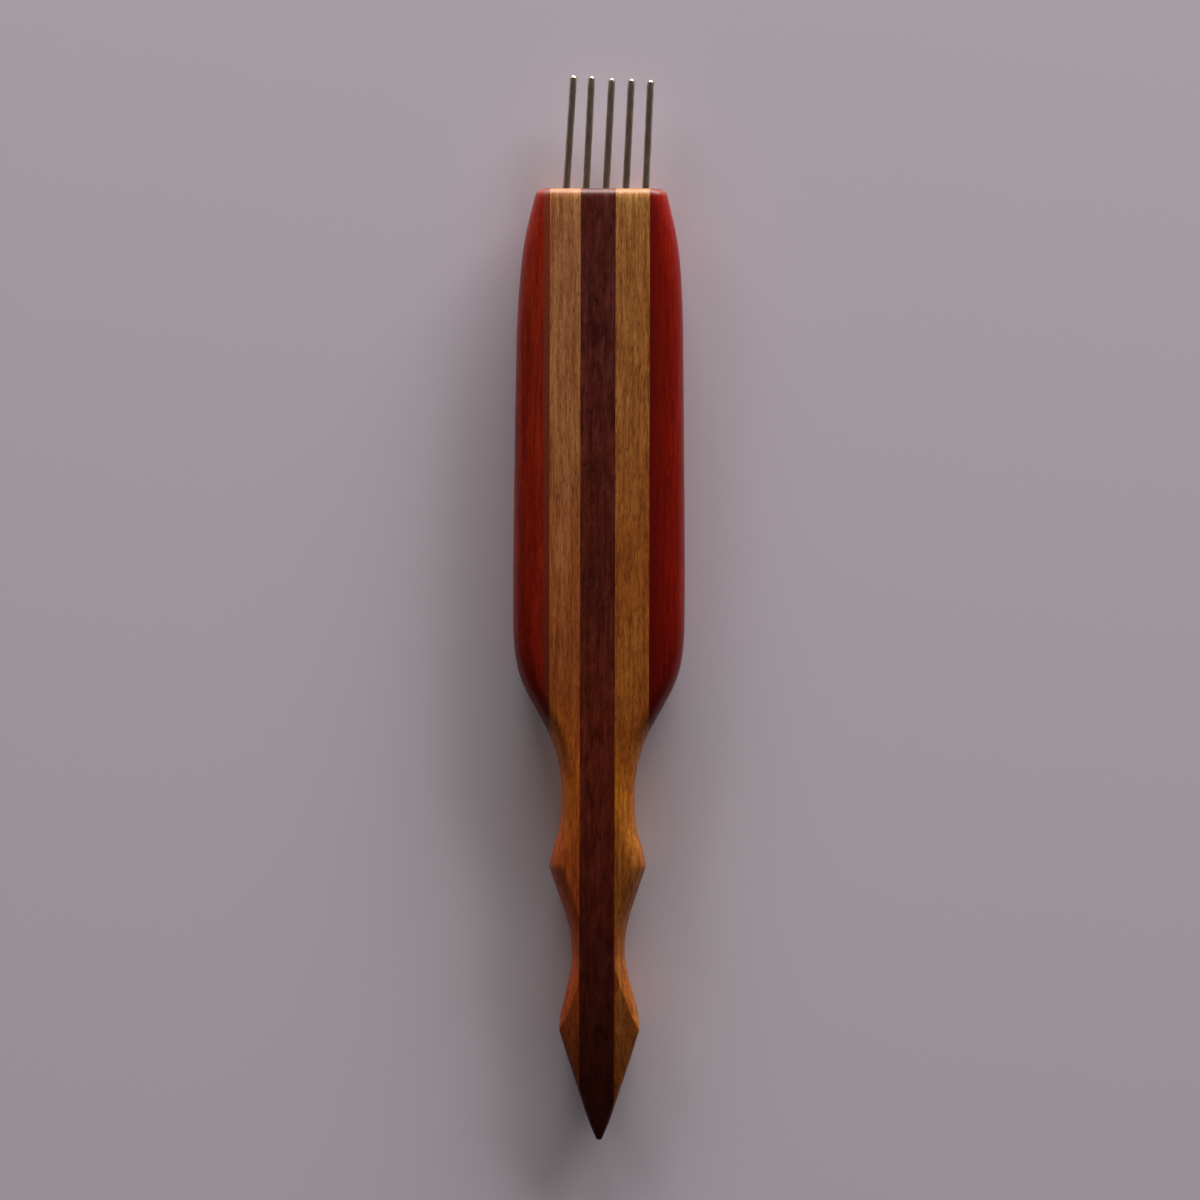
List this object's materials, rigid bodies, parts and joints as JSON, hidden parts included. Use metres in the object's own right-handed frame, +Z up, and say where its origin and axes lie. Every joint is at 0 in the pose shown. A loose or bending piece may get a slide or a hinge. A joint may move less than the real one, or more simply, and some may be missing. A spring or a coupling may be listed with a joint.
{
  "type": "bookbinding awl",
  "caption": "Flat hand tool: laminated hardwood handle with shoulders, neck, pointed knuckle and spear-shaped tail, and a row of blunt round-nosed steel tines in its square end.",
  "frame": {"origin": "middle of the tool's box in plan, on the surface that its flat underside lies on", "axes": "+Y along the tool from the spear tip to the tines, +X across the glued strips to the right, +Z up out of the broad face"},
  "size_m": [0.0275, 0.1702, 0.008],
  "materials": {
    "red_wood": "satin oiled padauk-like heartwood, fine open grain",
    "pale_wood": "satin oiled golden-tan hardwood with short dark pores",
    "dark_wood": "satin oiled purple-brown hardwood with a faint mottle",
    "steel": "drawn wire, lightly tarnished, noses polished by use"
  },
  "bodies": {
    "root": {"red_strip_left": "red_wood", "pale_strip_left": "pale_wood", "dark_strip_centre": "dark_wood", "pale_strip_right": "pale_wood", "red_strip_right": "red_wood", "tine_1": "steel", "tine_2": "steel", "tine_3": "steel", "tine_4": "steel", "tine_5": "steel"}
  },
  "joints": []
}
